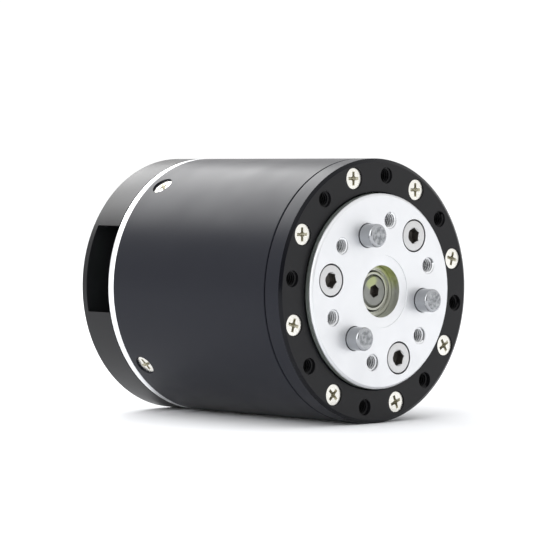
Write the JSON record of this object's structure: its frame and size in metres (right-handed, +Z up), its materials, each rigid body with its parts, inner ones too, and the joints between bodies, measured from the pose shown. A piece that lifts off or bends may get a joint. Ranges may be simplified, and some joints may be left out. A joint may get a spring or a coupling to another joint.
{
  "type": "robot joint actuator",
  "caption": "Cylindrical robot joint actuator with a bolted front ring, a silver output flange with dowels, a two-stage planetary gearbox and a motor with its drive board behind.",
  "frame": {"origin": "centre of the front mounting ring's face, on the machine's axis", "axes": "+Y along the axis from the output end into the body, -Y out of the output flange, +Z up with the body lying on its side, +X to the right seen from the output end"},
  "size_m": [0.056, 0.0682, 0.056],
  "materials": {
    "black_anodised": "black anodised, satin, fine turning lines",
    "bare_aluminium": "clear anodised, fine turned",
    "nickel_screw": "nickel plated",
    "zinc_screw": "bright zinc plated",
    "bearing_steel": "ground",
    "seal_rubber": "moulded",
    "ground_steel": "ground dowel",
    "gear_steel": "hobbed, oiled",
    "bronze": "sintered bronze",
    "bell_steel": "phosphated",
    "magnet_nickel": "nickel plated",
    "lamination_steel": "stacked laminations",
    "copper_enamel": "enamelled copper wire",
    "lead_insulation": "silicone",
    "board_laminate": "solder mask",
    "chip_epoxy": "moulded epoxy",
    "connector_nylon": "moulded nylon",
    "brass_spacer": "turned"
  },
  "bodies": {
    "housing": {"front_ring": "black_anodised", "ring_screws": "nickel_screw", "main_housing": "black_anodised", "side_screws": "nickel_screw", "output_bearing_outer": "bearing_steel", "output_bearing_seal": "seal_rubber", "ring_gear": "gear_steel", "gearbox_cover": "bare_aluminium", "gearbox_cover_screws": "nickel_screw", "stator_core": "lamination_steel", "stator_windings": "copper_enamel", "motor_base": "bare_aluminium", "front_motor_bearing_outer": "bearing_steel", "rear_motor_bearing_outer": "bearing_steel", "motor_leads": "lead_insulation", "encoder_sensor": "chip_epoxy", "drive_board": "board_laminate", "board_spacers": "brass_spacer", "board_screws": "nickel_screw", "board_parts": "chip_epoxy", "power_connector": "connector_nylon", "signal_connector": "connector_nylon", "rear_cover": "black_anodised", "rear_cover_screws": "nickel_screw"},
    "output": {"output_flange": "bare_aluminium", "output_screws": "zinc_screw", "output_pins": "ground_steel", "carrier_back": "gear_steel", "output_bearing_inner": "bearing_steel", "centre_bearing_outer": "bearing_steel", "carrier_bearing_outer": "bearing_steel"},
    "roller_set": {"output_bearing_rollers": "bearing_steel"},
    "stage_one": {"stage_two_sun": "gear_steel", "stage_one_carrier": "gear_steel", "stage_one_pins": "ground_steel", "centre_bearing_inner": "bearing_steel", "carrier_bearing_inner": "bearing_steel", "nose_bearing_outer": "bearing_steel"},
    "rotor": {"rotor_shaft": "gear_steel", "rotor_bell": "bell_steel", "rotor_magnets": "magnet_nickel", "front_motor_bearing_inner": "bearing_steel", "rear_motor_bearing_inner": "bearing_steel", "nose_bearing_inner": "bearing_steel", "encoder_magnet": "magnet_nickel"},
    "stage_two_planet_1": {"stage_two_planet_1": "gear_steel", "stage_two_bush_1": "bronze"},
    "stage_one_planet_1": {"stage_one_planet_1": "gear_steel", "stage_one_bush_1": "bronze"},
    "stage_two_planet_2": {"stage_two_planet_2": "gear_steel", "stage_two_bush_2": "bronze"},
    "stage_one_planet_2": {"stage_one_planet_2": "gear_steel", "stage_one_bush_2": "bronze"},
    "stage_two_planet_3": {"stage_two_planet_3": "gear_steel", "stage_two_bush_3": "bronze"},
    "stage_one_planet_3": {"stage_one_planet_3": "gear_steel", "stage_one_bush_3": "bronze"}
  },
  "joints": [
    {"name": "output_spin", "type": "hinge", "parent": "housing", "child": "output", "pos_m": [0, 0, 0], "axis": [0, 1, 0], "continuous": true},
    {"name": "roller_set_spin", "type": "hinge", "parent": "housing", "child": "roller_set", "pos_m": [0, 0.00697, 0], "axis": [0, 1, 0], "continuous": true},
    {"name": "stage_one_spin", "type": "hinge", "parent": "housing", "child": "stage_one", "pos_m": [0, 0.018, 0], "axis": [0, 1, 0], "continuous": true},
    {"name": "rotor_spin", "type": "hinge", "parent": "housing", "child": "rotor", "pos_m": [0, 0.04, 0], "axis": [0, 1, 0], "continuous": true},
    {"name": "stage_two_planet_1_spin", "type": "hinge", "parent": "output", "child": "stage_two_planet_1", "pos_m": [0.0124, 0.014, -0.00223], "axis": [0, 1, 0], "continuous": true},
    {"name": "stage_one_planet_1_spin", "type": "hinge", "parent": "stage_one", "child": "stage_one_planet_1", "pos_m": [0.0124, 0.0295, -0.00223], "axis": [0, 1, 0], "continuous": true},
    {"name": "stage_two_planet_2_spin", "type": "hinge", "parent": "output", "child": "stage_two_planet_2", "pos_m": [-0.00813, 0.014, -0.00962], "axis": [0, 1, 0], "continuous": true},
    {"name": "stage_one_planet_2_spin", "type": "hinge", "parent": "stage_one", "child": "stage_one_planet_2", "pos_m": [-0.00813, 0.0295, -0.00962], "axis": [0, 1, 0], "continuous": true},
    {"name": "stage_two_planet_3_spin", "type": "hinge", "parent": "output", "child": "stage_two_planet_3", "pos_m": [-0.00427, 0.014, 0.01186], "axis": [0, 1, 0], "continuous": true},
    {"name": "stage_one_planet_3_spin", "type": "hinge", "parent": "stage_one", "child": "stage_one_planet_3", "pos_m": [-0.00427, 0.0295, 0.01186], "axis": [0, 1, 0], "continuous": true}
  ],
  "couplings": [
    {"joint": "roller_set_spin", "follows": "output_spin", "ratio": 0.4785},
    {"joint": "stage_one_spin", "follows": "output_spin", "ratio": 6},
    {"joint": "rotor_spin", "follows": "output_spin", "ratio": 36},
    {"joint": "stage_two_planet_1_spin", "follows": "output_spin", "ratio": -2.5},
    {"joint": "stage_one_planet_1_spin", "follows": "output_spin", "ratio": -15},
    {"joint": "stage_two_planet_2_spin", "follows": "output_spin", "ratio": -2.5},
    {"joint": "stage_one_planet_2_spin", "follows": "output_spin", "ratio": -15},
    {"joint": "stage_two_planet_3_spin", "follows": "output_spin", "ratio": -2.5},
    {"joint": "stage_one_planet_3_spin", "follows": "output_spin", "ratio": -15}
  ]
}
